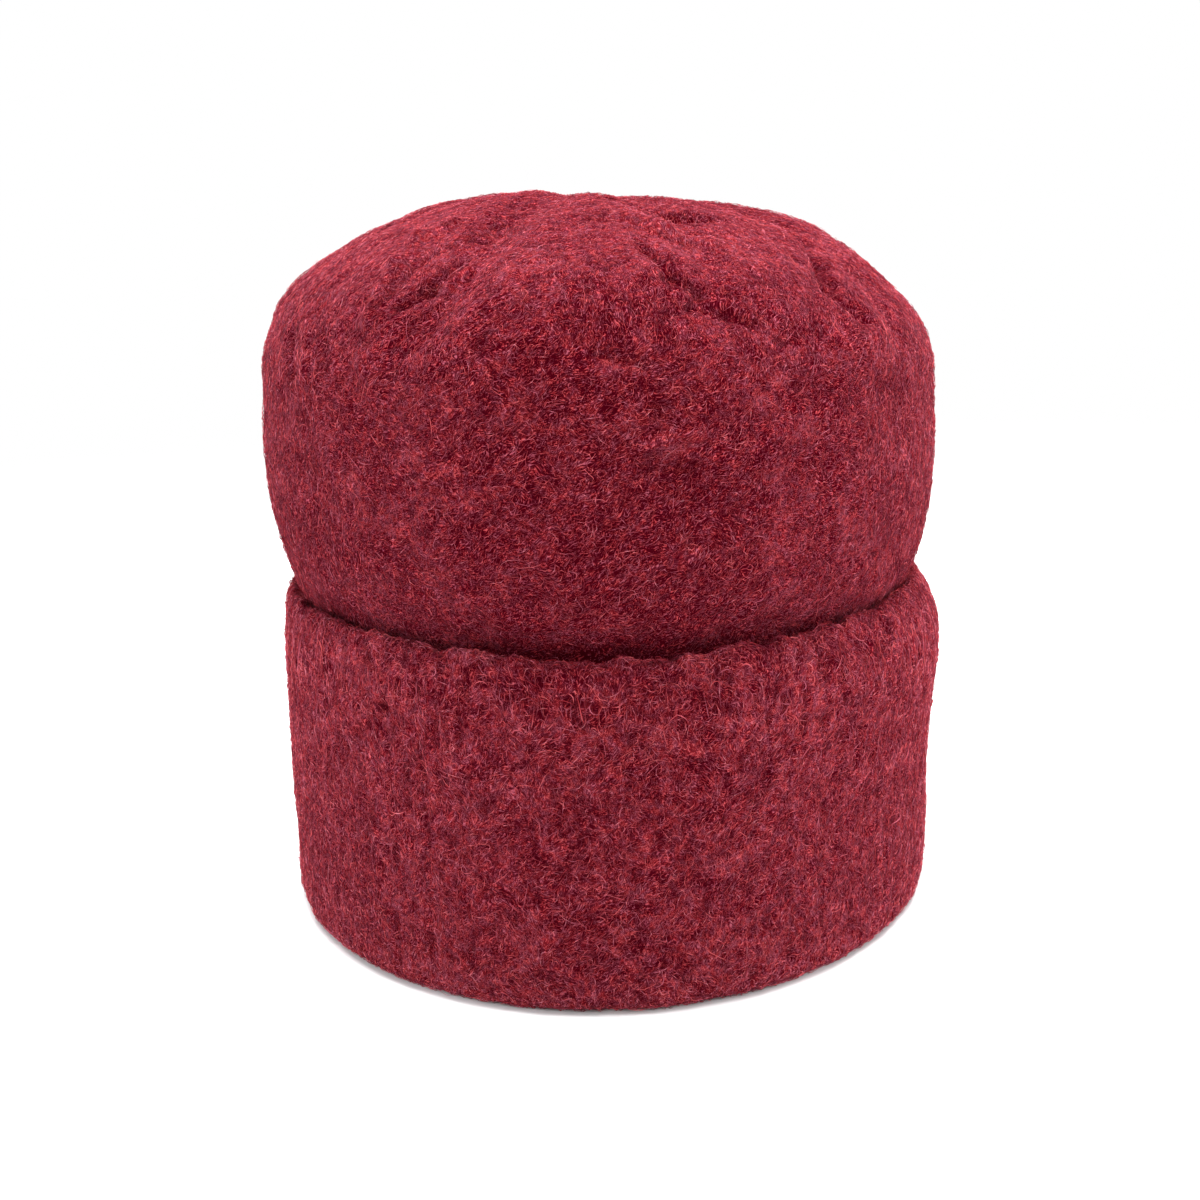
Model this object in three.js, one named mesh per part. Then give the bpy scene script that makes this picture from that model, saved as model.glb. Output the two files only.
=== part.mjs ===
// A felted wool beanie with a deep turned-up cuff, standing on its rim as it does when it is taken off.
// Millimetres, +Z up, the front towards -Y. The origin is the centre of the footprint, on the surface.
//
// The hat is one knitted and felted tube. The crown is its inner layer: it rises out of the head opening, swells
// above the cuff and closes in a low dome with eight soft gathers. The cuff is the outer layer: it goes round the
// fold at the bottom edge, up the outside of the crown, and ends in a rounded lip.
//
// A bearing is an angle round the hat in degrees: 0 is the front, 90 is +X, 180 the back.
import * as THREE from "three";
import { mergeVertices } from "three/addons/utils/BufferGeometryUtils.js";

// ---- Driving dimensions ----
const SEGMENTS = 96; // steps round the hat
const DEPTH_RATIO = 1.15; // front to back against side to side, a head's oval

const CROWN_CLOTH = 3.6; // thickness of the crown's wall
const CUFF_CLOTH = 4.2; // thickness of the cuff, whose brushed side shows
const SEAT_GAP = 0.3; // between the crown's lower edge and the fold that it stands in

const FOLD_TOP = 8; // height of the fold's inner leg, which carries the crown
const FOLD_RADIUS = 4.5; // rounding of the fold's outer corner
const FOLD_INNER_RADIUS = 2; // rounding of the fold's inner corner
const LIP_ROUND_HEIGHT = 14; // height over which the cuff's lip rounds off
const LIP_INSET = 3.6; // how far the lip leans in over that height

const SHOULDER_HEIGHT = 150; // where the wall ends and the dome starts
const TOP_HEIGHT = 201.5; // the dome's highest point, before its gathers
const DOME_STEPS = 10; // rings from the shoulder to the middle of the top
const TOP_SHIFT = -3.5; // how far the middle of the top sits to the left of the wall
const TOP_LEAN = -2.4; // the slope of the dome's upper part from side to side: its right side hangs lower
const OUTLINE_SHIFT = -1.7; // moves the hat so that the middle of its outline stands over the origin

const SWIRL = 24; // how far each gather turns round between the shoulder and the middle, in degrees
const PUCKER_FADE = 9; // how soon a gather fades out below its pucker, in degrees of the dome
const GATHER_MEETING = 60; // the dome angle from which the gathers grow shallower, because they crowd together
const MEETING_DEPTH = 0.45; // the share of its depth that a gather keeps at the middle of the top
const MIDDLE_DIP = 0.9; // how far the middle of the top is drawn in

// ---- The wall of the crown: outer half width and sideways shift at each height ----
const WALL = [
  { height: FOLD_TOP + SEAT_GAP, halfWidth: 90.6, shift: 0.2 },
  { height: 40, halfWidth: 90.7, shift: 0.4 },
  { height: 66, halfWidth: 90.6, shift: 1.3 },
  { height: 82, halfWidth: 89.6, shift: 1.6 },
  { height: 91, halfWidth: 89.4, shift: 1.1 },
  { height: 98, halfWidth: 91.6, shift: 1.3 },
  { height: 105, halfWidth: 93.7, shift: 1.1 },
  { height: 115, halfWidth: 95.4, shift: 1.0 },
  { height: 126, halfWidth: 96.2, shift: 0.7 },
  { height: 138, halfWidth: 96.3, shift: 0.7 },
  { height: SHOULDER_HEIGHT, halfWidth: 95.7, shift: 1.0 },
];

// ---- The outside of the cuff: half width and sideways shift at each height ----
const CUFF = [
  { height: 0, halfWidth: 95.3, shift: 0.0 },
  { height: 18, halfWidth: 95.5, shift: 0.3 },
  { height: 38, halfWidth: 95.5, shift: 0.4 },
  { height: 56, halfWidth: 96.1, shift: 1.2 },
  { height: 72, halfWidth: 96.7, shift: 2.4 },
  { height: 80, halfWidth: 96.4, shift: 2.4 },
  { height: 86, halfWidth: 95.4, shift: 1.7 },
  { height: 92, halfWidth: 94.3, shift: 0.9 },
  { height: 98, halfWidth: 94.0, shift: 0.7 },
];

// ---- The lip: how high the cuff stands at each bearing ----
const LIP = [
  { bearing: 0, height: 89.2 },
  { bearing: 45, height: 91.4 },
  { bearing: 90, height: 92.4 },
  { bearing: 135, height: 92.0 },
  { bearing: 180, height: 91.5 },
  { bearing: 225, height: 92.4 },
  { bearing: 270, height: 93.0 },
  { bearing: 315, height: 92.6 },
];

// ---- The gathers: valleys that run from the middle of the top down to a pucker at the shoulder ----
// reach is the dome angle in degrees where the pucker lies: 0 is the shoulder, 90 the middle of the top.
const GATHERS = [
  { bearing: -31, reach: 24, depth: 2.6, width: 6.5 },
  { bearing: 12, reach: 30, depth: 2.2, width: 6.0 },
  { bearing: 52, reach: 14, depth: 2.4, width: 6.5 },
  { bearing: 100, reach: 26, depth: 1.8, width: 6.5 },
  { bearing: 143, reach: 22, depth: 2.2, width: 6.0 },
  { bearing: 187, reach: 28, depth: 2.0, width: 6.5 },
  { bearing: 231, reach: 20, depth: 2.2, width: 6.0 },
  { bearing: 277, reach: 27, depth: 1.6, width: 6.5 },
];

// ---- The dents and swells of the wall: soft ovals, deep where depth is positive, raised where it is negative ----
const DENTS = [
  { bearing: -29, height: 152, depth: 1.4, halfAround: 16, halfUp: 9 },
  { bearing: 6, height: 156, depth: 1.2, halfAround: 14, halfUp: 10 },
  { bearing: 18, height: 142, depth: -1.0, halfAround: 22, halfUp: 7 },
  { bearing: 8, height: 122, depth: 1.5, halfAround: 20, halfUp: 16 },
  { bearing: 46, height: 161, depth: -1.2, halfAround: 26, halfUp: 6 },
  { bearing: 52, height: 143, depth: 1.6, halfAround: 16, halfUp: 12 },
  { bearing: -62, height: 128, depth: -1.0, halfAround: 18, halfUp: 18 },
  { bearing: 118, height: 132, depth: 1.5, halfAround: 24, halfUp: 14 },
  { bearing: 165, height: 148, depth: -1.2, halfAround: 26, halfUp: 9 },
  { bearing: 196, height: 124, depth: 1.6, halfAround: 26, halfUp: 16 },
  { bearing: 248, height: 146, depth: 1.3, halfAround: 22, halfUp: 12 },
  { bearing: 272, height: 174, depth: -1.3, halfAround: 34, halfUp: 8 },
  { bearing: 84, height: 187, depth: -2.2, halfAround: 18, halfUp: 9 },
];

const FELT = { color: 0x832c38, roughness: 0.95, metalness: 0 };

const radians = (degrees) => (degrees * Math.PI) / 180;
const blend = (from, to, share) => from + (to - from) * share;

/** A smooth value through four neighbours, share of the way from b to c (Catmull-Rom). */
function through(a, b, c, d, share) {
  const slopeIn = (c - a) / 2;
  const slopeOut = (d - b) / 2;
  const square = share * share;
  const cube = square * share;
  return (
    (2 * cube - 3 * square + 1) * b +
    (cube - 2 * square + share) * slopeIn +
    (3 * square - 2 * cube) * c +
    (cube - square) * slopeOut
  );
}

/** Reads one column of a table of sections at a height, smoothly between its rows. */
function atHeight(rows, column, height) {
  const last = rows.length - 1;
  let low = 0;
  while (low < last - 1 && height > rows[low + 1].height) low += 1;
  const pick = (index) => rows[THREE.MathUtils.clamp(index, 0, last)][column];
  const span = rows[low + 1].height - rows[low].height;
  const share = THREE.MathUtils.clamp((height - rows[low].height) / span, 0, 1);
  return through(pick(low - 1), pick(low), pick(low + 1), pick(low + 2), share);
}

/** The height of the lip at a bearing, smoothly round the table. */
function lipHeight(bearing) {
  const step = 360 / LIP.length;
  const place = THREE.MathUtils.euclideanModulo(bearing, 360) / step;
  const low = Math.floor(place);
  const pick = (index) => LIP[THREE.MathUtils.euclideanModulo(index, LIP.length)].height;
  return through(pick(low - 1), pick(low), pick(low + 1), pick(low + 2), place - low);
}

/** A point of an oval ring: an ellipse whose half depth is DEPTH_RATIO times its half width, drawn in by inset. */
function ovalPoint(halfWidth, shift, bearing, height, inset = 0) {
  const across = halfWidth - inset;
  const along = halfWidth * DEPTH_RATIO - inset;
  const angle = radians(bearing);
  return new THREE.Vector3(shift + across * Math.sin(angle), -along * Math.cos(angle), height);
}

/** The smallest turn between two bearings, in degrees. */
function turnBetween(first, second) {
  return THREE.MathUtils.euclideanModulo(first - second + 180, 360) - 180;
}

/** A soft hump: 1 in the middle, falling to nothing about two and a half widths away. */
const hump = (distance, width) => Math.exp(-((distance / width) ** 2));

/** The dome before its gathers: a quarter of an ellipse, whose middle sits to the left and whose right side is low. */
function domePoint(bearing, domeAngle) {
  const wall = WALL[WALL.length - 1];
  const rise = Math.sin(radians(domeAngle));
  const spread = Math.cos(radians(domeAngle));
  const side = Math.sin(radians(bearing)) * spread;
  const height = SHOULDER_HEIGHT + (TOP_HEIGHT - SHOULDER_HEIGHT) * rise + TOP_LEAN * side * rise;
  return ovalPoint(wall.halfWidth * spread, blend(wall.shift, TOP_SHIFT, rise), bearing, height);
}

/** How deep the gathers cut at a place on the dome: each is a valley that fades in below its pucker. */
function gatherDepth(bearing, domeAngle, fromMiddle) {
  let depth = 0;
  for (const gather of GATHERS) {
    const course = gather.bearing + (SWIRL * domeAngle) / 90;
    const aside = radians(turnBetween(bearing, course)) * fromMiddle;
    const past = Math.max(gather.reach - domeAngle, 0);
    const crowded = Math.max(domeAngle - GATHER_MEETING, 0) / (90 - GATHER_MEETING);
    const strength = gather.depth * blend(1, MEETING_DEPTH, crowded);
    depth += strength * hump(aside, gather.width) * hump(past, PUCKER_FADE);
  }
  return depth;
}

/** How deep the dents cut at a place on the crown. */
function dentDepth(bearing, height, fromMiddle) {
  let depth = 0;
  for (const dent of DENTS) {
    const aside = radians(turnBetween(bearing, dent.bearing)) * fromMiddle;
    depth += dent.depth * hump(aside, dent.halfAround) * hump(height - dent.height, dent.halfUp);
  }
  return depth;
}

/** The outside of the crown as rings of points, from the lower edge to the last ring below the middle of the top. */
function crownRings() {
  const wallHeights = [WALL[0].height, 50, 72, 84, 92, 98, 106, 116, 127, 139];
  const domeAngles = Array.from({ length: DOME_STEPS }, (_, i) => (90 * i) / DOME_STEPS);
  const bearings = Array.from({ length: SEGMENTS }, (_, i) => (360 * i) / SEGMENTS);
  const wall = wallHeights.map((height) =>
    bearings.map((bearing) => ({
      bearing,
      domeAngle: -90,
      point: ovalPoint(atHeight(WALL, "halfWidth", height), atHeight(WALL, "shift", height), bearing, height),
    })),
  );
  const dome = domeAngles.map((domeAngle) =>
    bearings.map((bearing) => ({ bearing, domeAngle, point: domePoint(bearing, domeAngle) })),
  );
  return [...wall, ...dome];
}

/** The outward normals of a grid of rings that close round the hat and end just below a pole. */
function ringNormals(rings, pole) {
  return rings.map((ring, row) =>
    ring.map((_, column) => {
      const before = ring[(column + SEGMENTS - 1) % SEGMENTS];
      const after = ring[(column + 1) % SEGMENTS];
      const below = rings[Math.max(row - 1, 0)][column];
      const above = row + 1 < rings.length ? rings[row + 1][column] : pole;
      const around = new THREE.Vector3().subVectors(after, before);
      const upward = new THREE.Vector3().subVectors(above, below);
      return around.cross(upward).normalize();
    }),
  );
}

/** A closed body from rings of equal length: side quads between neighbours, with a point or a ring at each end. */
function bodyFromRings(rings, startPole, endPole) {
  const corners = [];
  const quad = (a, b, c, d) => corners.push(a, b, c, a, c, d);
  for (let row = 0; row + 1 < rings.length; row += 1) {
    for (let column = 0; column < SEGMENTS; column += 1) {
      const next = (column + 1) % SEGMENTS;
      quad(rings[row][column], rings[row][next], rings[row + 1][next], rings[row + 1][column]);
    }
  }
  for (let column = 0; column < SEGMENTS; column += 1) {
    const next = (column + 1) % SEGMENTS;
    if (startPole) corners.push(rings[0][next], rings[0][column], startPole);
    if (endPole) corners.push(rings.at(-1)[column], rings.at(-1)[next], endPole);
  }
  const geometry = new THREE.BufferGeometry().setFromPoints(corners);
  const merged = mergeVertices(geometry, 1e-4);
  merged.computeVertexNormals();
  return merged;
}

/** The crown: its outer rings pressed in by the gathers and dents, and the same rings one cloth further in. */
function crownGeometry() {
  const places = crownRings();
  const smooth = places.map((ring) => ring.map((place) => place.point));
  const topMiddle = domePoint(0, 90);
  const smoothNormals = ringNormals(smooth, topMiddle);
  const outer = places.map((ring, row) =>
    ring.map(({ bearing, domeAngle, point }, column) => {
      const fromMiddle = Math.hypot(point.x - topMiddle.x, point.y - topMiddle.y);
      const depth =
        gatherDepth(bearing, domeAngle, fromMiddle) + dentDepth(bearing, point.z, fromMiddle);
      return point.clone().addScaledVector(smoothNormals[row][column], -depth);
    }),
  );
  const outerTop = topMiddle.clone().setZ(topMiddle.z - MIDDLE_DIP);
  const normals = ringNormals(outer, outerTop);
  const inner = outer.map((ring, row) =>
    ring.map((point, column) => {
      const inward = normals[row][column].clone();
      if (row === 0) inward.setZ(0).normalize();
      return point.clone().addScaledVector(inward, -CROWN_CLOTH);
    }),
  );
  const innerTop = outerTop.clone().setZ(outerTop.z - CROWN_CLOTH);
  return bodyFromRings([...inner.reverse(), ...outer], innerTop, outerTop);
}

/** The section of the cuff at a bearing, as points from the fold's inner leg, round under it, up and over the lip. */
function cuffSection(bearing) {
  const lip = lipHeight(bearing);
  const outside = (height, inset = 0) =>
    ovalPoint(atHeight(CUFF, "halfWidth", height), atHeight(CUFF, "shift", height), bearing, height, inset);
  const wall = (height, inset = 0) =>
    ovalPoint(WALL[0].halfWidth, WALL[0].shift, bearing, height, inset);
  const quarter = (count) => Array.from({ length: count + 1 }, (_, i) => radians((90 * i) / count));
  const points = [wall(FOLD_TOP, CROWN_CLOTH)];
  for (const angle of quarter(2)) {
    const inset = CROWN_CLOTH - FOLD_INNER_RADIUS * (1 - Math.cos(angle));
    points.push(wall(FOLD_INNER_RADIUS * (1 - Math.sin(angle)), inset));
  }
  for (const angle of quarter(3)) {
    const height = FOLD_RADIUS * (1 - Math.cos(angle));
    points.push(outside(height, FOLD_RADIUS * (1 - Math.sin(angle))));
  }
  for (const height of [22, 40, 56, 70]) points.push(outside(height));
  for (const angle of quarter(4)) {
    const height = lip - LIP_ROUND_HEIGHT * (1 - Math.sin(angle));
    points.push(outside(height, LIP_INSET * (1 - Math.cos(angle))));
  }
  points.push(outside(lip - 1.2, CUFF_CLOTH), outside(64, CUFF_CLOTH), outside(36, CUFF_CLOTH));
  points.push(outside(FOLD_TOP, CUFF_CLOTH));
  return points;
}

/** The cuff: its section carried round the hat and closed on itself. */
function cuffGeometry() {
  const sections = Array.from({ length: SEGMENTS }, (_, i) => cuffSection((360 * i) / SEGMENTS));
  const rings = sections[0].map((_, row) => sections.map((section) => section[row]));
  return bodyFromRings([...rings, rings[0]], null, null);
}

/** One piece of the hat, in its felt, moved so that the outline is centred. */
function piece(name, geometry) {
  const mesh = new THREE.Mesh(geometry, new THREE.MeshStandardMaterial(FELT));
  mesh.name = name;
  mesh.position.x = OUTLINE_SHIFT;
  return mesh;
}

const beanie = new THREE.Group();
beanie.add(piece("crown", crownGeometry()), piece("cuff", cuffGeometry()));

export default beanie;
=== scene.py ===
"""Looks of a felted wool beanie with a deep turned-up cuff, standing on its folded rim.

The crown and the cuff are shells of brushed felt: surfaces worked out on grids from the frame's own
sizes, raised into lumps and nubs, and covered with a nap of short matted strands, longer curled ones
and a few stray hairs. Lengths are in metres, with +Z up and the front towards -Y. A bearing is an
angle round the hat in radians: 0 is the front, a quarter turn is +X.
"""

import logging
import math
from collections.abc import Callable
from dataclasses import dataclass, field
from typing import Any

import bpy
import numpy as np
from mathutils import Matrix, Vector


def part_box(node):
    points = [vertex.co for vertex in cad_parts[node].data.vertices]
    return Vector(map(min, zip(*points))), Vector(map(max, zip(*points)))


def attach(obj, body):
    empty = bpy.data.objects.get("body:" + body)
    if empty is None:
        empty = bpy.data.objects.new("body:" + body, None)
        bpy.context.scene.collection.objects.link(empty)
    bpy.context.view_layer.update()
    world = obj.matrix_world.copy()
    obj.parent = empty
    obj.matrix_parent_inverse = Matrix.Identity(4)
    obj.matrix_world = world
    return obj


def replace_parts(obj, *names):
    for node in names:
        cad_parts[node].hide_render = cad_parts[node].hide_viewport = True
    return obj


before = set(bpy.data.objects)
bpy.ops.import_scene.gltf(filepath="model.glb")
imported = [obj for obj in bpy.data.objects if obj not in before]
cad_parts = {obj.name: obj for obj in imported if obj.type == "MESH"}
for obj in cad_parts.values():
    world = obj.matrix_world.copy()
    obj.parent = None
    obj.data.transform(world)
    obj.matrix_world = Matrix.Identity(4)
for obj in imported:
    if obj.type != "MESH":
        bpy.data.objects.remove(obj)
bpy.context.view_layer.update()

MM = 0.001
FULL_TURN = 2 * math.pi
GOLD = (1 + math.sqrt(5)) / 2
BODY = "root"
log = logging.getLogger("beanie")

Array = np.ndarray
Rows = tuple[tuple[float, ...], ...]


# ---- numbers ----


def smooth_step(low: float, high: float, value: Array) -> Array:
    """Rises from 0 at low to 1 at high along 3t^2 - 2t^3."""
    share = np.clip((value - low) / (high - low), 0.0, 1.0)
    return share * share * (3.0 - 2.0 * share)


def hump(distance: Array, width: Array | float) -> Array:
    """A bell curve: 1 in the middle, falling to nothing about two and a half widths away."""
    return np.exp(-((distance / width) ** 2))


def unit(vectors: Array) -> Array:
    """The same vectors at length 1."""
    length = np.linalg.norm(vectors, axis=-1, keepdims=True)
    return vectors / np.maximum(length, 1e-12)


def turn_between(first: Array, second: Array | float) -> Array:
    """The smallest signed turn from the second bearing to the first."""
    return (first - second + math.pi) % FULL_TURN - math.pi


def smooth_through(rows: Rows, places: Array, column: int = 1) -> Array:
    """A smooth curve through a short table.

    Between two rows it is the cubic that meets each with the slope of the line joining its neighbours
    (Catmull-Rom).

    Args:
        rows: the table, with rising places in its first column.
        places: where to read the curve.
        column: which column the curve runs through.

    Returns:
        The value at each place.
    """
    table = np.array(rows)
    at, value = table[:, 0], table[:, column]
    slope = np.gradient(value, at)
    low = np.clip(np.searchsorted(at, places) - 1, 0, len(at) - 2)
    span = at[low + 1] - at[low]
    t = np.clip((places - at[low]) / span, 0.0, 1.0)
    start = (1 + 2 * t) * (1 - t) ** 2 * value[low] + t * (1 - t) ** 2 * span * slope[low]
    end = t * t * (3 - 2 * t) * value[low + 1] - t * t * (1 - t) * span * slope[low + 1]
    return start + end


class WoolNoise:
    """Smooth solid noise, about -1 to 1, the same for the same seed."""

    def __init__(self, seed: int) -> None:
        """Shuffles the lattice's directions from the seed."""
        rng = np.random.default_rng(seed)
        self._order = np.tile(rng.permutation(256), 3)
        self._slopes = unit(rng.normal(size=(256, 3)))

    def _slope(self, corner: Array) -> Array:
        """The random slope that a lattice corner holds."""
        x, y, z = np.moveaxis(corner, -1, 0) & 255
        return self._slopes[self._order[self._order[self._order[x] + y] + z]]

    def __call__(self, points: Array, size: float) -> Array:
        """Reads the noise at points.

        The value is the blend, by a fifth-order ease, of the heights at the point of the eight slopes
        round it (gradient noise).

        Args:
            points: positions, last axis of length 3.
            size: the lattice's step, in the points' unit.

        Returns:
            One value for each point.
        """
        place = points / size
        corner = np.floor(place).astype(int)
        part = place - corner
        ease = part**3 * (part * (part * 6 - 15) + 10)
        total = np.zeros(points.shape[:-1])
        for step in np.ndindex(2, 2, 2):
            weight = np.prod(np.where(step, ease, 1 - ease), axis=-1)
            total += weight * np.sum(self._slope(corner + step) * (part - step), axis=-1)
        return total * 1.6

    def layers(self, points: Array, rows: Rows) -> Array:
        """Several noises in one, from rows of size in mm, share, and a shift that sets each apart."""
        return sum(self(points + shift, size * MM) * share for size, share, shift in rows)

    def nubs(self, points: Array, size: float) -> Array:
        """Rounded nubs: 1 over a scattered knot of wool, falling to about 0 between knots.

        Each lattice cell holds one knot at a random place. The value falls with the distance to the
        nearest knot (cellular noise).
        """
        place = points / size
        corner = np.floor(place).astype(int)
        nearest = np.full(points.shape[:-1], 4.0)
        for step in np.ndindex(3, 3, 3):
            cell = corner + step - 1
            knot = cell + 0.5 + 0.45 * self._slope(cell)
            nearest = np.minimum(nearest, np.sum((knot - place) ** 2, axis=-1))
        return np.clip(1.0 - nearest, 0.0, 1.0)


# ---- meshes ----


@dataclass
class MeshParts:
    """A mesh as arrays, before it goes to Blender."""

    points: Array
    faces: list[Array]
    smooth: bool = True
    bake_map: Array | None = None
    values: dict[str, Array] = field(default_factory=dict)

    def triangles(self) -> int:
        """How many triangles the faces come to."""
        return sum(len(group) * (group.shape[1] - 2) for group in self.faces)


def in_scene(name: str, data: bpy.types.ID) -> bpy.types.Object:
    """An object of that data, linked into the scene."""
    made = bpy.data.objects.new(name, data)
    bpy.context.scene.collection.objects.link(made)
    return made


def build_object(name: str, parts: MeshParts, material: bpy.types.Material) -> bpy.types.Object:
    """Puts arrays into a mesh object at the origin.

    Args:
        name: the object's name.
        parts: its vertices, faces, bake map and values for each vertex.
        material: the finish of the whole piece.

    Returns:
        The new object, in the scene.
    """
    mesh = bpy.data.meshes.new(name)
    corners = np.concatenate([group.ravel() for group in parts.faces])
    counts = np.concatenate([np.full(len(group), group.shape[1]) for group in parts.faces])
    mesh.vertices.add(len(parts.points))
    mesh.vertices.foreach_set("co", parts.points.astype(np.float32).ravel())
    mesh.loops.add(len(corners))
    mesh.loops.foreach_set("vertex_index", corners.astype(np.int32))
    mesh.polygons.add(len(counts))
    mesh.polygons.foreach_set("loop_start", (np.cumsum(counts) - counts).astype(np.int32))
    mesh.polygons.foreach_set("use_smooth", np.full(len(counts), parts.smooth))
    for key, value in parts.values.items():
        layer = mesh.attributes.new(key, "FLOAT", "POINT")
        layer.data.foreach_set("value", value.astype(np.float32).ravel())
    if parts.bake_map is not None:
        layer = mesh.uv_layers.new(name="OFBake")
        layer.data.foreach_set("uv", parts.bake_map[corners].astype(np.float32).ravel())
    mesh.update(calc_edges=True)
    mesh.materials.append(material)
    return in_scene(name, mesh)


@dataclass
class Patch:
    """A closed strip of surface as a grid: rows from bottom to top, columns once round the hat."""

    points: Array

    def __post_init__(self) -> None:
        """Works out the outward normals, the way round, and the size of a step along each direction."""
        around = np.roll(self.points, -1, axis=1) - np.roll(self.points, 1, axis=1)
        upward = np.gradient(self.points, axis=0)
        self.normals = unit(np.cross(around, upward))
        self.step_around = np.maximum(np.linalg.norm(around, axis=-1) / 2.0, 0.25 * MM)
        self.step_up = np.maximum(np.linalg.norm(upward, axis=-1), 0.05 * MM)
        self.around = unit(around)

    def raised(self, height: Array) -> Array:
        """The points moved outwards by a height."""
        return self.points + self.normals * height[..., None]

    def read(self, grid: Array, column: Array, row: Array) -> Array:
        """Reads a grid between its points, straight along each direction (bilinear)."""
        rows, columns = self.points.shape[:2]
        row = np.clip(row, 0.0, rows - 1.001)
        low_row = row.astype(int)
        low_column = np.floor(column).astype(int)
        up, on = row - low_row, column - low_column
        low_column, next_column = low_column % columns, (low_column + 1) % columns
        if grid.ndim == 3:
            up, on = up[..., None], on[..., None]
        below = grid[low_row, low_column] * (1 - on) + grid[low_row, next_column] * on
        above = grid[low_row + 1, low_column] * (1 - on) + grid[low_row + 1, next_column] * on
        return below * (1 - up) + above * up

    def scatter(self, count: int, rng: np.random.Generator, weight: Array) -> tuple[Array, Array]:
        """Picks places spread evenly by area times a weight.

        Args:
            count: how many places.
            rng: the source of chance.
            weight: how thick the nap is at each grid point.

        Returns:
            Column and row of each place.
        """
        rows, columns = self.points.shape[:2]
        share = (self.step_around * self.step_up * weight)[: rows - 1].ravel()
        total = np.cumsum(share)
        cell = np.searchsorted(total, rng.random(count) * total[-1])
        return cell % columns + rng.random(count), cell // columns + rng.random(count)


def band_faces(low: Array, high: Array, columns: int) -> Array:
    """Quads from ring to ring round the hat, facing out where they run upwards.

    Args:
        low: number of the first vertex of each lower ring.
        high: the same of the ring above it.
        columns: how many vertices a ring has.

    Returns:
        Four vertices for each face.
    """
    here = np.arange(columns)
    beside = (here + 1) % columns
    low, high = low[:, None], high[:, None]
    return np.stack([low + here, low + beside, high + beside, high + here], axis=-1).reshape(-1, 4)


def cap_faces(ring_start: int, columns: int, pole: int, outward: bool) -> Array:
    """Triangles from the last ring to its pole."""
    column = np.arange(columns)
    here, beside = ring_start + column, ring_start + (column + 1) % columns
    ends = (here, beside) if outward else (beside, here)
    return np.stack([*ends, np.full(columns, pole)], axis=-1)


# the six ways that filaments may run: the long diagonals of an icosahedron
WAYS = unit(np.array([(0, 1, GOLD), (0, -1, GOLD), (1, GOLD, 0), (-1, GOLD, 0), (GOLD, 0, 1), (GOLD, 0, -1)]))
# how much of the wool keeps to its heading
KEPT_SHARE = 0.6


def way_shares(patch: Patch, heading: Array) -> dict[str, Array]:
    """How many filaments lie each way at each place of a surface.

    A way counts by the square of its part along the surface, and more the nearer it runs to the heading.
    The shares are scaled so that the largest is 1 everywhere.

    Args:
        patch: the surface.
        heading: the turn from around to up of the way that the wool lies.

    Returns:
        One grid for each way, by its attribute's name.
    """
    up = np.cross(patch.normals, patch.around)
    lay = np.cos(heading)[..., None] * patch.around + np.sin(heading)[..., None] * up
    shares = [
        (1 - KEPT_SHARE) * (1 - (patch.normals @ way) ** 2) + KEPT_SHARE * (lay @ way) ** 2 for way in WAYS
    ]
    largest = np.max(shares, axis=0)
    return {f"way_{number}": share / largest for number, share in enumerate(shares)}


# ---- the hat's form ----


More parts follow.
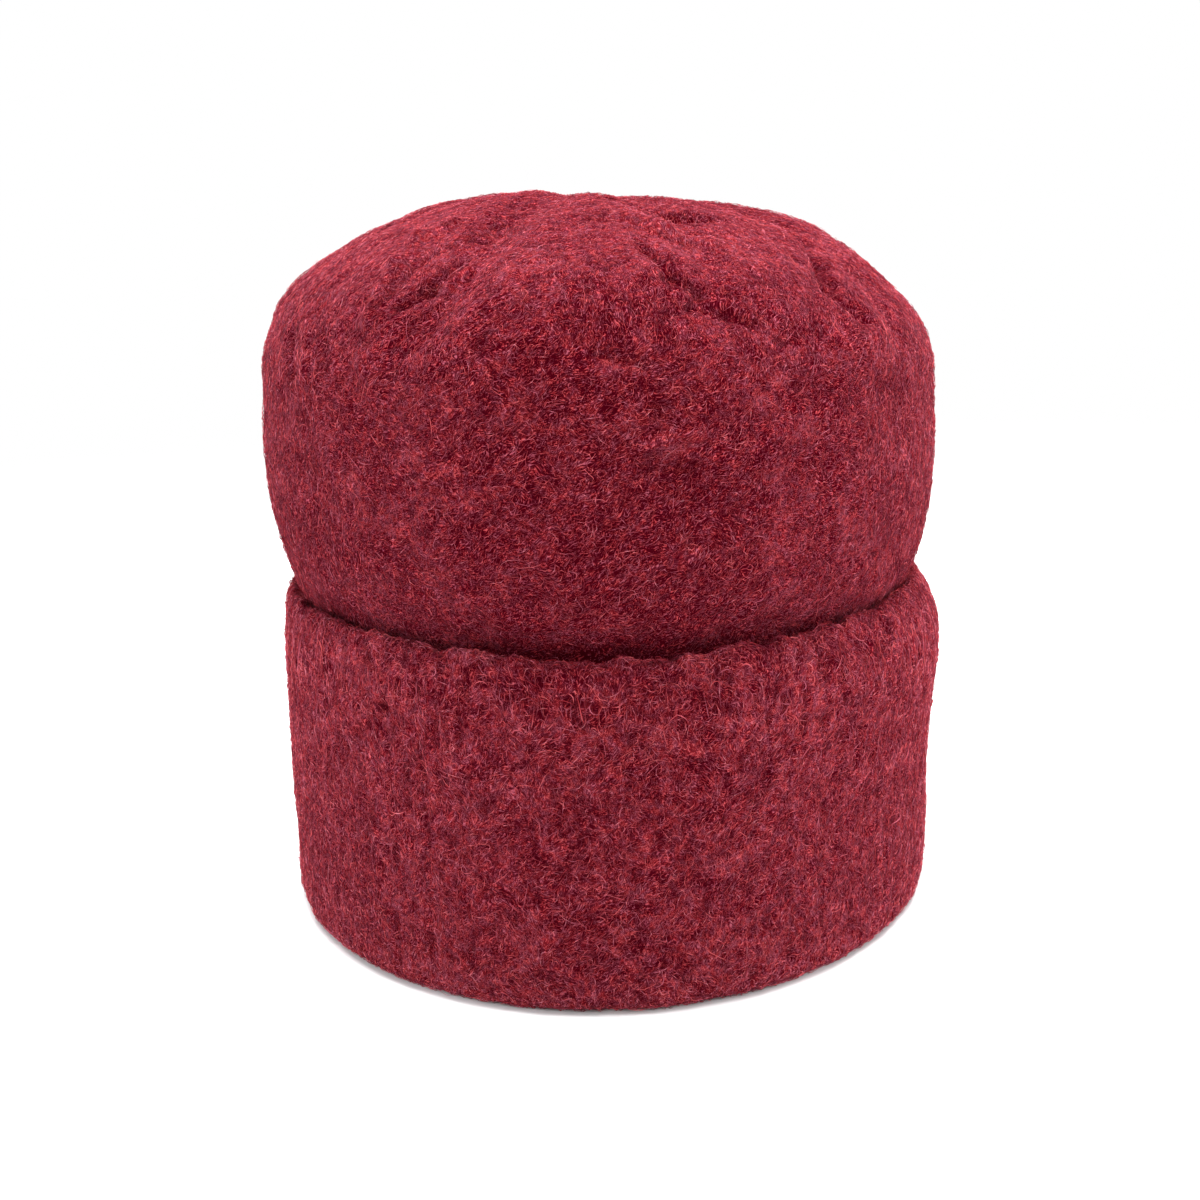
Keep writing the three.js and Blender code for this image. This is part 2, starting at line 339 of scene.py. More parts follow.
@dataclass
class HatForm:
    """The hat's smooth form, from the frame's boxes and short tables of shares of them.

    Heights are shares of the hat's height, and widths and shifts shares of its half width.
    """

    height: float
    half_width: float
    half_depth: float
    lip_height: float
    cloth: float = 3.6 * MM
    cuff_cloth: float = 4.2 * MM
    fold_top: float = 8.0 * MM

    # the crown's wall: height, outer half width, sideways shift
    WALL = (
        (0.041, 0.932, -0.015), (0.199, 0.933, -0.013), (0.329, 0.932, -0.004), (0.409, 0.921, -0.001),
        (0.454, 0.919, -0.006), (0.489, 0.942, -0.004), (0.523, 0.963, -0.006), (0.573, 0.981, -0.007),
        (0.628, 0.989, -0.010), (0.688, 0.990, -0.010), (0.748, 0.984, -0.007),
    )
    # the same for the outside of the cuff
    CUFF = (
        (0.000, 0.980, -0.017), (0.090, 0.982, -0.014), (0.190, 0.982, -0.013), (0.279, 0.988, -0.005),
        (0.359, 0.994, 0.007), (0.399, 0.991, 0.007), (0.429, 0.981, 0.000), (0.459, 0.970, -0.008),
        (0.489, 0.967, -0.010),
    )
    # bearing in degrees, height of the lip as a share of its highest point
    LIP = (
        (0, 0.959), (45, 0.982), (90, 0.993), (135, 0.989), (180, 0.983), (225, 0.993), (270, 0.999),
        (315, 0.995), (360, 0.959),
    )
    # bearing in degrees, dome angle of the pucker in degrees, depth in mm, width in mm
    GATHERS = (
        (-31, 24, 2.6, 6.5), (12, 30, 2.2, 6.0), (52, 14, 2.4, 6.5), (100, 26, 1.8, 6.5),
        (143, 22, 2.2, 6.0), (187, 28, 2.0, 6.5), (231, 20, 2.2, 6.0), (277, 27, 1.6, 6.5),
    )
    # bearing in degrees, share of the hat's height, depth, half size round, half size up, in mm
    DENTS = (
        (-29, 0.758, 1.4, 16, 9), (3, 0.885, -1.4, 50, 8), (6, 0.788, 1.0, 14, 9), (18, 0.708, -1.0, 22, 7),
        (8, 0.608, 1.5, 20, 16), (46, 0.803, -1.2, 26, 6), (52, 0.713, 1.6, 16, 12),
        (-62, 0.638, -1.0, 18, 18), (118, 0.658, 1.5, 24, 14), (165, 0.738, -1.2, 26, 9),
        (196, 0.618, 1.6, 26, 16), (248, 0.728, 1.3, 22, 12), (272, 0.867, -1.3, 34, 8),
        (84, 0.932, -2.2, 18, 9), (80, 0.998, 2.0, 24, 3.6), (-80, 0.990, -0.7, 16, 4),
    )
    # a short stroke on the crown: bearing in degrees and share of the way up the meridian at each end,
    # then its depth and half width in mm; a ridge has a depth below 0
    PINCHES = (
        (-37, 0.63, -36, 0.69, -1.9, 2.4), (-36, 0.69, -38, 0.74, -1.9, 2.4),
        (-38, 0.74, -34, 0.78, -1.4, 2.4), (-33, 0.66, -32, 0.70, 0.6, 1.6),
        (-32, 0.70, -23, 0.75, 0.9, 1.8), (-31, 0.645, -27, 0.662, 2.5, 2.2),
        (-28, 0.660, -23, 0.700, 1.9, 1.4), (-25, 0.655, -21, 0.70, -1.2, 2.2),
        (-22, 0.75, -21, 0.78, 1.4, 3.0), (-21, 0.78, -26, 0.86, 1.4, 3.0), (-4, 0.85, 4, 0.78, 1.1, 2.4),
        (16, 0.86, 24, 0.82, 2.8, 2.6), (24, 0.82, 35, 0.785, 3.0, 2.8), (13, 0.785, 18, 0.75, -1.6, 2.8),
        (18, 0.75, 27, 0.73, -1.6, 2.8), (12, 0.71, 14, 0.67, 2.2, 1.8), (14, 0.67, 18, 0.65, 2.0, 1.8),
        (11, 0.625, 16, 0.64, 1.7, 1.7), (16, 0.64, 24, 0.615, 1.9, 1.7), (62, 0.74, 51, 0.69, 2.8, 3.0),
        (51, 0.69, 45, 0.65, 2.8, 2.8), (45, 0.65, 47, 0.61, 2.4, 2.8), (28, 0.595, 35, 0.60, 1.2, 2.2),
        (0, 0.595, 7, 0.58, 1.3, 1.7), (6, 0.513, 12, 0.52, -1.2, 1.9), (7, 0.498, 12, 0.49, 1.5, 1.7),
        (7, 0.543, 8, 0.543, 1.4, 1.8), (-36, 0.59, -34, 0.555, -1.0, 2.8),
        (-58, 0.61, -54, 0.57, 1.5, 2.2), (-52, 0.62, -49, 0.57, -1.3, 2.0),
        (-47, 0.61, -44, 0.58, 1.2, 2.0), (40, 0.58, 68, 0.555, -1.0, 3.0), (29, 0.548, 55, 0.54, 1.0, 3.0),
    )
    # waves round the lip, their height in mm, their start
    LIP_WANDER = ((19, 0.35, 1.0), (43, 0.35, 0.0), (71, 0.25, 0.0))
    # the smooth dome's top, a little over the hat's height, for the gathers press it down
    DOME_TOP = 1.0045
    TOP_SHIFT = -0.053
    TOP_LEAN = -2.4 * MM
    # how far a gather turns from the shoulder to the top, and over what angle it fades below its pucker
    SWIRL = math.radians(24)
    PUCKER_FADE = math.radians(9)
    # from this dome angle on the gathers crowd, over so much of it, and lose this much of their depth
    CROWDED_FROM = math.radians(60)
    CROWDED_OVER = math.radians(30)
    CROWDED_LOSS = 0.55
    TUCK = 1.1 * MM
    # a stroke's ragged edge: the size of its bays and how far they reach
    RAGGED_SIZE = 4.5 * MM
    RAGGED_REACH = 1.3 * MM
    CHANCE_PINCHES = 34
    PINCH_SEED = 5
    STEPS = 600

    def __post_init__(self) -> None:
        """Measures the crown's meridian, so that places on it can be given by their distance along it."""
        level, width, shift = self.WALL[-1]
        shoulder = level * self.height
        wall = np.linspace(self.WALL[0][0], level, self.STEPS)
        angle = np.linspace(0.0, math.pi / 2, self.STEPS)[1:]
        rise = np.sin(angle)
        dome = shoulder + (self.height * self.DOME_TOP - shoulder) * rise
        narrowing = (smooth_through(self.WALL, wall, 1), width * np.cos(angle))
        leaning = (smooth_through(self.WALL, wall, 2), shift + (self.TOP_SHIFT - shift) * rise)
        self._angle = np.concatenate([np.full(self.STEPS, -0.5), angle])
        self._height = np.concatenate([wall * self.height, dome])
        self._width = self.half_width * np.concatenate(narrowing)
        self._shift = self.half_width * np.concatenate(leaning)
        step = np.hypot(np.diff(self._height), np.diff(self._width))
        self._run = np.concatenate([[0.0], np.cumsum(step)])
        self.crown_length = float(self._run[-1])
        self._ragged = WoolNoise(self.PINCH_SEED)
        strokes = np.array([*self.PINCHES, *self._chance_pinches()])
        ends = [
            self._smooth_crown(np.radians(strokes[:, side]), strokes[:, side + 1] * self.crown_length)
            for side in (0, 2)
        ]
        self._strokes = list(zip(*ends, strokes[:, 4] * MM, strokes[:, 5] * MM, strict=True))

    def _chance_pinches(self) -> Array:
        """Strokes of the same kind, set by chance round the sides and the back."""
        rng = np.random.default_rng(self.PINCH_SEED)
        count = self.CHANCE_PINCHES
        bearing, share = rng.uniform(80, 290, count), rng.uniform(0.42, 0.86, count)
        turn, reach = rng.normal(size=count) * 5, rng.normal(size=count) * 0.03
        depth = rng.choice([-1.0, 1.1, 1.6], count) * rng.uniform(0.7, 1.2, count)
        wide = rng.uniform(1.6, 2.6, count)
        return np.stack([bearing, share, bearing + turn, share + reach, depth, wide], axis=1)

    def pinched(self, points: Array) -> Array:
        """How deep the strokes press the crown: a bell across each stroke, with ragged edges."""
        depth = np.zeros(points.shape[:-1])
        bays = [self._ragged(points + shift, self.RAGGED_SIZE) for shift in (0.0, 0.2, 0.4)]
        swayed = points + np.stack(bays, axis=-1) * self.RAGGED_REACH
        for start, end, deep, wide in self._strokes:
            line = end - start
            reach = np.linalg.norm(line) / 2 + 3 * wide
            near = np.all(np.abs(swayed - (start + end) / 2) < reach, axis=-1)
            beside = swayed[near] - start
            share = np.clip(beside @ line / (line @ line), 0.0, 1.0)
            depth[near] += deep * hump(np.linalg.norm(beside - share[:, None] * line, axis=-1), wide)
        return depth

    def tucked(self, bearing: Array, points: Array) -> Array:
        """How far the crown dives in just above the cuff's lip, or comes out where this is below 0.

        It dives at the front and on the right, and comes out on the left and behind.
        """
        front = smooth_step(0.3, 0.9, np.cos(bearing + 0.2)) - 0.6 + hump(turn_between(bearing, 1.5), 0.6)
        return front * hump(points[..., 2] - self.lip(bearing) - 0.5 * MM, 5.0 * MM)

    def run_at(self, height: float) -> float:
        """How far up the crown's meridian a height on its wall lies."""
        return float(np.interp(height, self._height, self._run))

    def _oval(self, width: Array, shift: Array, bearing: Array, height: Array, inset: Array) -> Array:
        """Points on ellipses: half width across, in the hat's own ratio from front to back."""
        ratio = self.half_depth / self.half_width
        across, along = width - inset, width * ratio - inset
        spread = [shift + across * np.sin(bearing), -along * np.cos(bearing), height]
        return np.stack(np.broadcast_arrays(*spread), axis=-1)

    def _smooth_crown(self, bearing: Array, run: Array) -> Array:
        """The crown before its gathers and dents: an oval wall under a quarter-ellipse dome."""
        rows = (self._width, self._shift, self._height, self._angle)
        width, shift, height, angle = (np.interp(run, self._run, row) for row in rows)
        angle = np.maximum(angle, 0.0)
        lean = self.TOP_LEAN * np.sin(bearing) * np.sin(angle) * np.cos(angle)
        return self._oval(width, shift, bearing, height + lean, np.zeros(1))

    def press(self, bearing: Array, run: Array, points: Array) -> Array:
        """How deep the gathers, dents, strokes and tuck press the crown.

        A gather is a bell-shaped valley that turns as it climbs and fades below its pucker, and a dent
        is a soft oval.

        Args:
            bearing: where round the hat.
            run: distance along the meridian from the lower edge.
            points: the smooth crown's points there.

        Returns:
            The depth at each point.
        """
        angle = np.interp(run, self._run, self._angle)
        from_middle = np.hypot(points[..., 0] - self.TOP_SHIFT * self.half_width, points[..., 1])
        crowded = np.clip((angle - self.CROWDED_FROM) / self.CROWDED_OVER, 0.0, 1.0)
        depth = np.zeros(points.shape[:-1])
        for at, reach, deep, wide in self.GATHERS:
            course = math.radians(at) + self.SWIRL * angle / (math.pi / 2)
            aside = turn_between(bearing, course) * from_middle
            past = np.maximum(math.radians(reach) - angle, 0.0)
            valley = hump(aside, wide * MM) * hump(past, self.PUCKER_FADE)
            depth += deep * MM * (1 - self.CROWDED_LOSS * crowded) * valley
        for at, level, deep, around, up in self.DENTS:
            aside = turn_between(bearing, math.radians(at)) * from_middle
            above = points[..., 2] - level * self.height
            depth += deep * MM * hump(aside, around * MM) * hump(above, up * MM)
        return depth + self.pinched(points) + self.TUCK * self.tucked(bearing, points)

    def crown(self, bearing: Array, run: Array) -> Array:
        """The outside of the crown, with its gathers and dents.

        Args:
            bearing: where round the hat.
            run: distance along the meridian from the lower edge.

        Returns:
            The points.
        """
        points = self._smooth_crown(bearing, run)
        up, turn = 0.2 * MM, 0.002
        upward = self._smooth_crown(bearing, run + up) - self._smooth_crown(bearing, run - up)
        around = self._smooth_crown(bearing + turn, run) - self._smooth_crown(bearing - turn, run)
        outward = unit(np.cross(around, upward))
        return points - outward * self.press(bearing, run, points)[..., None]

    def lip(self, bearing: Array) -> Array:
        """How high the cuff stands at a bearing."""
        wander = sum(high * np.sin(waves * bearing + start) for waves, high, start in self.LIP_WANDER)
        return self.lip_height * smooth_through(self.LIP, np.degrees(bearing) % 360.0) + wander * MM

    def cuff(self, bearing: Array, height: Array, inset: Array) -> Array:
        """A point of the cuff, given its height and how far it lies inside the cuff's outer oval."""
        level = height / self.height
        width, shift = (smooth_through(self.CUFF, level, column) * self.half_width for column in (1, 2))
        return self._oval(width, shift, bearing, height, inset)


def read_form() -> HatForm:
    """The hat's form at the sizes that the frame gives."""
    crown_low, crown_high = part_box("crown")
    cuff_low, cuff_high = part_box("cuff")
    low, high = np.minimum(crown_low, cuff_low), np.maximum(crown_high, cuff_high)
    half_width, half_depth = (float(side) for side in (high - low)[:2] / 2)
    return HatForm(float(high[2]), half_width, half_depth, float(cuff_high[2]))


# ---- finishes ----


def math_method(operation: str, reflected: bool = False) -> Callable[["Wire", Any], "Wire"]:
    """A method of Wire that joins it with another value in a Math node.

    Args:
        operation: what the node works out.
        reflected: whether the other value comes first.

    Returns:
        The method.
    """

    def method(wire: "Wire", other: Any) -> "Wire":
        return wire.joined(operation, *((other, wire) if reflected else (wire, other)))

    return method


class Wire:
    """A node's output, on which Python's own arithmetic adds Math nodes."""

    def __init__(self, tree: bpy.types.NodeTree, socket: bpy.types.NodeSocket) -> None:
        """Keeps the socket and the tree that it belongs to."""
        self.tree = tree
        self.socket = socket

    def joined(self, operation: str, *values: Any) -> "Wire":
        """A Math node of these values, links or numbers."""
        node = self.tree.nodes.new("ShaderNodeMath")
        node.operation = operation
        for slot, value in zip(node.inputs, values, strict=False):
            if isinstance(value, Wire):
                self.tree.links.new(value.socket, slot)
            else:
                slot.default_value = float(value)
        return Wire(self.tree, node.outputs[0])

    __add__ = __radd__ = math_method("ADD")
    __mul__ = __rmul__ = math_method("MULTIPLY")
    __sub__, __rsub__ = math_method("SUBTRACT"), math_method("SUBTRACT", reflected=True)
    larger = math_method("MAXIMUM")

    def clamped(self) -> "Wire":
        """The value held between 0 and 1."""
        return self.joined("MINIMUM", self.larger(0.0), 1.0)


class Palette:
    """The node tree of a material or a world, with one method that adds any node."""

    def __init__(self, owner: bpy.types.ID) -> None:
        """Empties the owner's node tree."""
        self.owner = owner
        self.owner.use_nodes = True
        self.tree = self.owner.node_tree
        self.tree.nodes.clear()

    def add(self, kind: str, settings: dict[str, Any], *ordered: Any, **named: Any) -> bpy.types.Node:
        """Adds a node.

        Args:
            kind: the node's type, without its ShaderNode prefix.
            settings: the node's own options. A ramp's stops come as "stops".
            ordered: values or wires for its inputs from the first on.
            named: values or wires for its inputs by name, an underscore standing for a space.

        Returns:
            The node.
        """
        node = self.tree.nodes.new("ShaderNode" + kind)
        for key, value in settings.items():
            if key == "stops":
                self._set_stops(node.color_ramp, value)
            else:
                setattr(node, key, value)
        slots = list(zip(node.inputs, ordered, strict=False))
        slots += [(self._slot(node, key.replace("_", " ")), value) for key, value in named.items()]
        for slot, value in slots:
            if isinstance(value, Wire):
                self.tree.links.new(value.socket, slot)
            else:
                slot.default_value = value
        return node

    @staticmethod
    def _slot(node: bpy.types.Node, name: str) -> bpy.types.NodeSocket:
        """The enabled input of that name."""
        return next(slot for slot in node.inputs if slot.name == name and slot.enabled)

    @staticmethod
    def _set_stops(ramp: bpy.types.ColorRamp, stops: list[tuple[float, tuple]]) -> None:
        """Writes a ramp's stops."""
        while len(ramp.elements) < len(stops):
            ramp.elements.new(1.0)
        for element, (place, colour) in zip(ramp.elements, stops, strict=True):
            element.position = place
            element.color = (*colour, 1.0)

    def wire(self, node: bpy.types.Node, output: str | int = 0) -> Wire:
        """One output of a node."""
        return Wire(self.tree, node.outputs[output])

    def attribute(self, name: str) -> Wire:
        """A value that the mesh holds at its vertices."""
        return self.wire(self.add("Attribute", {"attribute_name": name}), "Fac")

    def vector(self, operation: str, *values: Any, **named: Any) -> Wire:
        """Vector Math, whose dot product and length are numbers."""
        node = self.add("VectorMath", {"operation": operation}, *values, **named)
        return self.wire(node, "Value" if operation in ("DOT_PRODUCT", "LENGTH") else "Vector")

    def noise(self, where: Wire, size: float, detail: float = 2.0, twist: float = 0.0) -> Wire:
        """Solid noise from 0 to 1 with features of about that size."""
        node = self.add("TexNoise", {}, Vector=where, Scale=1 / size, Detail=detail, Distortion=twist)
        return self.wire(node, "Fac")

    def wobble(self, where: Wire, size: float, reach: float) -> Wire:
        """The place pushed aside by up to about half the reach, in swirls of that size."""
        node = self.add("TexNoise", {}, Vector=where, Scale=1 / size, Detail=1.0)
        push = self.vector("SUBTRACT", self.wire(node, "Color"), (0.5, 0.5, 0.5))
        return self.vector("ADD", where, self.vector("SCALE", push, Scale=reach))

    def rise(self, value: Wire, low: float, high: float) -> Wire:
        """Smoothly from 0 at low to 1 at high."""
        settings = {"interpolation_type": "SMOOTHSTEP"}
        return self.wire(self.add("MapRange", settings, Value=value, From_Min=low, From_Max=high))

    def mix(self, factor: Wire | float, first: Any, second: Any) -> Wire:
        """The first colour at factor 0, the second at factor 1."""
        node = self.add("Mix", {"data_type": "RGBA"}, Factor=factor, A=first, B=second)
        return self.wire(node, 2)

    def object_place(self) -> Wire:
        """Where the point is on the piece."""
        return self.wire(self.add("TexCoord", {}), "Object")

    def surface(self, **sockets: Any) -> bpy.types.Material:
        """Ends the tree with a Principled shader on the given sockets."""
        return self.ended("Material", self.add("BsdfPrincipled", {}, **sockets))

    def ended(self, kind: str, shader: bpy.types.Node) -> bpy.types.ID:
        """The owner, a "Material" or a "World", with the shader on its output."""
        self.add("Output" + kind, {}, Surface=self.wire(shader))
        return self.owner


Colour = tuple[float, float, float]


def solid(colour: Colour) -> tuple[float, float, float, float]:
    """The colour with full cover."""
    return (*colour, 1.0)


@dataclass(frozen=True)
class Wool:
    """The dyed wool's colours: pits, crimson and plum fibres, stray hairs, and the sheen's bloom."""

    pit: Colour = (0.045, 0.0004, 0.0035)
    body: Colour = (0.290, 0.0195, 0.0265)
    light: Colour = (0.620, 0.1030, 0.1120)
    plum_body: Colour = (0.190, 0.0235, 0.0420)
    plum_light: Colour = (0.460, 0.1050, 0.1520)
    hair: Colour = (0.600, 0.2050, 0.2500)
    bloom: Colour = (1.0, 0.50, 0.60)

    def dyed(self, p: Palette, level: Wire, plum: Wire) -> Wire:
        """The colour of a fibre, from how light it is, 0 to 1, and how far it leans to plum, 0 to 1."""
        ends = ((self.body, self.light), (self.plum_body, self.plum_light))
        ramps = []
        for body, light in ends:
            stops = [(0.0, self.pit), (0.5, body), (0.92, light), (1.0, self.hair)]
            ramps.append(p.wire(p.add("ValToRGB", {"stops": stops}, Fac=level)))
        return p.mix(plum, *ramps)


@dataclass(frozen=True)
class FeltFinish:
    """The felt under the nap: crossing filaments over darker pits, in soft patches of tone."""

    name: str
    wool: Wool
    filament: float = 0.21 * MM
    lock: float = 1.2 * MM
    curl: float = 1.6 * MM
    stretch: float = 6.0
    sheen: float = 0.12
    relief: float = 0.30 * MM
    # how far each of these shifts the tone
    lock_tone: float = 0.16
    mottle_tone: float = 0.18
    knot_and_painted_light_tone: float = 0.50
    gap_tone: float = 0.34

    def lying(self, p: Palette, place: Wire, size: float) -> Wire:
        """How high the uppermost of many lying fibres or locks stands, from about 0 to 1.

        Those that lie one way are noise squeezed along it, and the surface says how many lie each way.

        Args:
            p: the material's nodes.
            place: where to read, swirled so that the fibres curl.
            size: how thick they are.

        Returns:
            The largest of the six noises.
        """
        top = None
        for number, way in enumerate(WAYS.tolist()):
            along = p.vector("DOT_PRODUCT", place, way)
            excess = p.vector("SCALE", way, Scale=along * (1 - 1 / self.stretch))
            height = p.noise(p.vector("SUBTRACT", place, excess), size, 1.0) * p.attribute(f"way_{number}")
            top = height if top is None else top.larger(height)
        return top

    def make(self) -> bpy.types.Material:
        """Builds the material.

        Threads give it light and dark. Locks, mottling, knots and gaps shift their tone, the knots bringing
        the painted light and shade that the shells hold, and patches of plum tint them.
        """
        p = Palette(bpy.data.materials.new(self.name))
        place = p.object_place()
        # the knot attribute holds painted light and shade besides the knots and pits
        knot = p.attribute("knot")
        swayed = p.wobble(place, 14 * MM, 4 * MM)
        curled = p.wobble(p.wobble(place, 9 * MM, 6 * MM), self.curl, self.curl)
        locks = p.rise(self.lying(p, swayed, self.lock), 0.42, 0.74)
        threads = p.rise(self.lying(p, curled, self.filament), 0.46, 0.70)
        mottle = p.noise(place, 2.0 * MM, 2.0, 0.5)
        gaps = p.rise(p.noise(place, 1.3 * MM, 1.0, 0.6), 0.58, 0.72) * p.rise(knot, 0.62, 0.36)
        soft = (locks - 0.5) * self.lock_tone + (mottle - 0.5) * self.mottle_tone
        tone = soft + (knot - 0.5) * self.knot_and_painted_light_tone - gaps * self.gap_tone
        level = (threads * 0.80 + tone + 0.03).clamped() * 0.9
        plum = p.rise(p.noise(place, 1.5 * MM, 3.0), 0.38, 0.62)
        colour = self.wool.dyed(p, level, plum)
        bump = p.add("Bump", {}, Strength=0.8, Distance=self.relief, Height=threads * 0.7 + locks * 0.5)
        return p.surface(
            Base_Color=colour,
            Roughness=0.95,
            Sheen_Weight=self.sheen,
            Sheen_Roughness=0.25,
            Sheen_Tint=solid(self.wool.bloom),
            Specular_IOR_Level=0.0,
            Normal=p.wire(bump),
        )


@dataclass(frozen=True)
class StrandFinish:
    """The nap: each strand has its own tone, darker where it dives into the felt."""

    name: str
    wool: Wool
    sheen: float = 0.05

    def make(self) -> bpy.types.Material:
        """Builds the material from the strands' tone, plum tint and rise."""
        p = Palette(bpy.data.materials.new(self.name))
        tone, rise, plum = (p.attribute(name) for name in ("tone", "rise", "plum"))
        # painted shade towards each strand's ends, where it dives into the felt; the tone also carries the
        # felt's painted light and shade
        level = (tone * (0.35 + 0.65 * rise)).clamped()
        return p.surface(
            Base_Color=self.wool.dyed(p, level, plum),
            Roughness=0.85,
            Sheen_Weight=self.sheen,
            Sheen_Roughness=0.4,
            Sheen_Tint=solid(self.wool.bloom),
            Specular_IOR_Level=0.02,
        )


# ---- strands ----


@dataclass(frozen=True)
class Coat:
    """One kind of strand: its number, its sizes in metres, and how it wanders and is toned.

    joints counts the rings between its two ends, spread is the chance in its heading and curl the
    chance in its turning, in radians. tone runs from 0, a pit, to 1, a stray hair.
    """

    count: int
    length: float
    width: float
    lift: float
    joints: int
    spread: float
    curl: float
    tone: float
    tone_spread: float


MAT = Coat(23000, 3.0 * MM, 0.16 * MM, 0.22 * MM, 1, spread=0.7, curl=0.6, tone=0.58, tone_spread=0.23)
COATS = {
    "mat_1": MAT,
    "mat_2": MAT,
    "curls": Coat(2600, 4.6 * MM, 0.15 * MM, 0.34 * MM, 2, spread=0.9, curl=1.2, tone=0.62, tone_spread=0.22),
    "hairs": Coat(300, 7.0 * MM, 0.10 * MM, 0.50 * MM, 5, spread=1.2, curl=1.1, tone=0.90, tone_spread=0.06),
    "loops": Coat(600, 5.0 * MM, 0.24 * MM, 0.45 * MM, 5, spread=1.6, curl=3.2, tone=0.60, tone_spread=0.12),
    "fringe": Coat(2600, 3.0 * MM, 0.17 * MM, 0.6 * MM, 2, spread=0.8, curl=0.9, tone=0.44, tone_spread=0.16),
}


@dataclass
class Nap:
    """Strands that lie on a patch of surface, as one joined mesh for each coat.

    It holds the surface, the way that its wool lies, and how thick and how light the nap is.
    """

    patch: Patch
    heading: Array
    weight: Array
    shade: Array
    seed: int

    LENGTH_SPREAD = 0.35
    SIDES = 3

    def _paths(self, coat: Coat) -> tuple[Array, Array, Array, Array]:
        """Walks each strand over the surface.

        A strand starts at a scattered place, sets off along the wool's heading give or take its
        spread, and turns a little at each joint. Its middle is lifted clear along half a sine wave,
        and both ends dive into the felt.

        Args:
            coat: the kind of strand.

        Returns:
            Points and outward normals, one row for each strand, and each strand's tone and plum tint.
        """
        rng = np.random.default_rng(self.seed)
        read = self.patch.read
        column, row = self.patch.scatter(coat.count, rng, self.weight)
        grids = (self.patch.step_around, self.patch.step_up, self.shade)
        across, up, shade = (read(grid, column, row) for grid in grids)
        heading = read(self.heading, column, row) + rng.normal(size=coat.count) * coat.spread
        length = coat.length * np.exp(rng.normal(size=coat.count) * self.LENGTH_SPREAD)
        turn = rng.normal(size=coat.count) * coat.curl
        lift = coat.lift * rng.uniform(0.35, 1.5, coat.count)
        steps = coat.joints + 1
        points, normals = [], []
        for share in np.arange(steps + 1) / steps:
            height = lift * (math.sin(math.pi * share) * 1.3 - 0.3)
            normal = unit(read(self.patch.normals, column, row))
            points.append(read(self.patch.points, column, row) + normal * height[:, None])
            normals.append(normal)
            column = column + np.cos(heading) * length / steps / across
            row = row + np.sin(heading) * length / steps / up
            heading = heading + turn * (2.0 / steps)
        tone = np.clip(coat.tone + shade + rng.normal(size=coat.count) * coat.tone_spread, 0.0, 1.0)
        plum = np.clip(rng.random(coat.count) * 1.6 - 0.3, 0.0, 1.0)
        return np.stack(points, axis=1), np.stack(normals, axis=1), tone, plum

    def spindles(self, coat: Coat) -> MeshParts:
        """Curved strands: three-sided rings at the joints, drawn to a point at both ends."""
        paths, normals, tone, plum = self._paths(coat)
        inner = paths[:, 1:-1]
        along = unit(paths[:, 2:] - paths[:, :-2])
        side = unit(np.cross(normals[:, 1:-1], along))
        above = np.cross(along, side)
        swell = np.sin(math.pi * (np.arange(1, coat.joints + 1) / (coat.joints + 1)))
        radius = coat.width / 2 * swell[None, :, None, None] ** 0.5
        angles = np.array([0.5, 0.5 + 2 / 3, 0.5 + 4 / 3]) * math.pi
        cross = np.cos(angles)[:, None] * side[:, :, None] + np.sin(angles)[:, None] * above[:, :, None]
        rings = (inner[:, :, None] + cross * radius).reshape(len(paths), -1, 3)
        points = np.concatenate([paths[:, :1], paths[:, -1:], rings], axis=1)
        # how far each vertex stands clear of the felt; the nap's material darkens the low ones as painted
        # shade
        rise = np.concatenate([[0.0, 0.3], np.repeat(swell, self.SIDES)])
        return self._joined(points, self._strand_faces(coat.joints), tone, plum, rise)

    def _strand_faces(self, joints: int) -> Array:
        """One strand's triangles: vertices 0 and 1 are its ends, and its rings follow."""
        faces = []
        last = self.SIDES * (joints - 1)
        for turn in range(self.SIDES):
            here, beside = 2 + turn, 2 + (turn + 1) % self.SIDES
            faces.append([0, beside, here])
            for ring in range(0, last, self.SIDES):
                a, b = here + ring, beside + ring
                faces += [[a, b, b + self.SIDES], [a, b + self.SIDES, a + self.SIDES]]
            faces.append([1, here + last, beside + last])
        return np.array(faces)

    @staticmethod
    def _joined(points: Array, pattern: Array, tone: Array, plum: Array, rise: Array) -> MeshParts:
        """Repeats one strand's faces for all of them, each with a cell of its own in the bake map."""
        count, each = points.shape[:2]
        number = np.arange(count)
        faces = (number[:, None, None] * each + pattern[None]).reshape(-1, 3)
        cells = math.ceil(math.sqrt(count))
        corner = np.stack([number % cells, number // cells], axis=-1) / cells
        turn = np.linspace(0, FULL_TURN, each, endpoint=False)
        inside = 0.5 + 0.36 * np.stack([np.cos(turn), np.sin(turn)], axis=-1)
        bake_map = (corner[:, None] + inside[None] / cells).reshape(-1, 2)
        values = {"tone": np.repeat(tone, each), "plum": np.repeat(plum, each), "rise": np.tile(rise, count)}
        return MeshParts(points.reshape(-1, 3), [faces], False, bake_map, values)


# ---- the crown and the cuff ----


